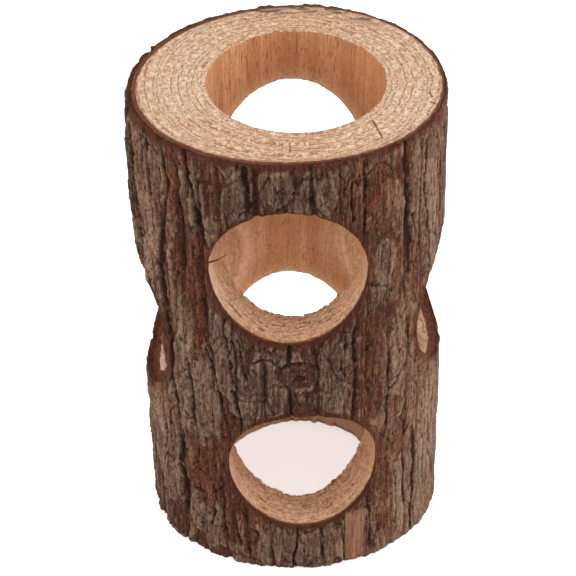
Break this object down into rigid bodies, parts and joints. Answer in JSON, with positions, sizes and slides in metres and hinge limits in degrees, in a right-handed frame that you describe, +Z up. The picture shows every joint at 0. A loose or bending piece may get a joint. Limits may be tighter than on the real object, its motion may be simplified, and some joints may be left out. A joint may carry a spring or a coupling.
{
  "type": "hamster log house",
  "caption": "Upright hollow-log shelter for a hamster: natural wood with furrowed bark, bored end to end and drilled with round side entrances.",
  "frame": {"origin": "middle of the overall box in plan, on the plane of the sawn base that the log stands on", "axes": "+Z up along the log, -Y towards the front, which has an upper and a lower entrance; +X to the right"},
  "size_m": [0.089, 0.0808, 0.1462],
  "materials": {
    "wood": "sawn and drilled, unfinished pale softwood",
    "inner_bark": "red-brown fibrous inner bark",
    "outer_bark": "weathered grey-brown furrowed bark",
    "knot_bark": "dark swirled bark over a branch knot"
  },
  "bodies": {
    "root": {"wood_body": "wood", "inner_bark": "inner_bark", "bark_knot": "knot_bark", "bark_ridge_01": "outer_bark", "bark_ridge_02": "outer_bark", "bark_ridge_03": "outer_bark", "bark_ridge_04": "outer_bark", "bark_ridge_05": "outer_bark", "bark_ridge_06": "outer_bark", "bark_ridge_07": "outer_bark", "bark_ridge_08": "outer_bark", "bark_ridge_09": "outer_bark", "bark_ridge_10": "outer_bark", "bark_ridge_11": "outer_bark", "bark_ridge_12": "outer_bark", "bark_ridge_13": "outer_bark", "bark_ridge_14": "outer_bark", "bark_ridge_15": "outer_bark", "bark_ridge_16": "outer_bark", "bark_ridge_17": "outer_bark", "bark_ridge_18": "outer_bark", "bark_ridge_19": "outer_bark", "bark_ridge_20": "outer_bark", "bark_ridge_21": "outer_bark", "bark_ridge_22": "outer_bark", "bark_ridge_23": "outer_bark", "bark_ridge_24": "outer_bark", "bark_ridge_25": "outer_bark", "bark_ridge_26": "outer_bark", "bark_ridge_27": "outer_bark", "bark_ridge_28": "outer_bark", "bark_ridge_29": "outer_bark", "bark_ridge_30": "outer_bark", "bark_ridge_31": "outer_bark", "bark_ridge_32": "outer_bark", "bark_ridge_33": "outer_bark", "bark_ridge_34": "outer_bark", "bark_ridge_35": "outer_bark", "bark_ridge_36": "outer_bark"}
  },
  "joints": []
}
